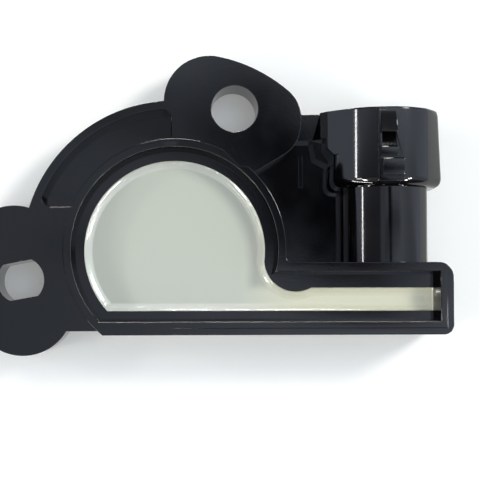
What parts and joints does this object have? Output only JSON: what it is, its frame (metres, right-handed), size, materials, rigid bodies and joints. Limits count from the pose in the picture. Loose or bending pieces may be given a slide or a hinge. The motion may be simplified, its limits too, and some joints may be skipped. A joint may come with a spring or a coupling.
{
  "type": "throttle position sensor",
  "caption": "Potted rotary sensor in a moulded housing with two screw ears, a spring-returned drive hub and an oval side connector with blades.",
  "frame": {"origin": "on the rotor's axis, at the mounting face and the mouth of the drive socket", "axes": "+X along the arm, +Y out of the connector's mouth, +Z out of the potted side, away from the throttle body"},
  "size_m": [0.0759, 0.0475, 0.0169],
  "materials": {
    "housing_black": "semi-gloss glass-filled moulding",
    "potting": "pale cast resin, satin with a glossy edge",
    "cover_grey": "matt",
    "board": "satin laminate",
    "carbon_ink": "matt printed ink",
    "silver_ink": "matt printed ink",
    "terminal_tin": "tin-plated copper strip",
    "rivet_brass": "satin",
    "rotor_white": "satin moulding",
    "wiper_alloy": "bright spring alloy",
    "spring_steel": "bright drawn wire",
    "washer_film": "smooth film",
    "seal_rubber": "matt rubber"
  },
  "bodies": {
    "sensor_body": {"housing": "housing_black", "potting_compound": "potting", "cover_plate": "cover_grey", "resistor_board": "board", "resistive_track": "carbon_ink", "collector_track": "carbon_ink", "conductor_supply": "silver_ink", "conductor_signal": "silver_ink", "conductor_ground": "silver_ink", "terminal_supply": "terminal_tin", "terminal_signal": "terminal_tin", "terminal_ground": "terminal_tin", "terminal_rivets": "rivet_brass", "return_spring": "spring_steel", "thrust_washer": "washer_film", "rotor_seal": "seal_rubber"},
    "rotor_body": {"rotor": "rotor_white", "wiper_contact": "wiper_alloy"}
  },
  "joints": [
    {"name": "rotor_turn", "type": "hinge", "parent": "sensor_body", "child": "rotor_body", "pos_m": [0, 0, 0], "axis": [0, 0, -1], "range_deg": [0, 95], "stiffness_Nm_per_rad": 0.01, "springref_deg": -34.38, "deforming": ["return_spring"]}
  ]
}
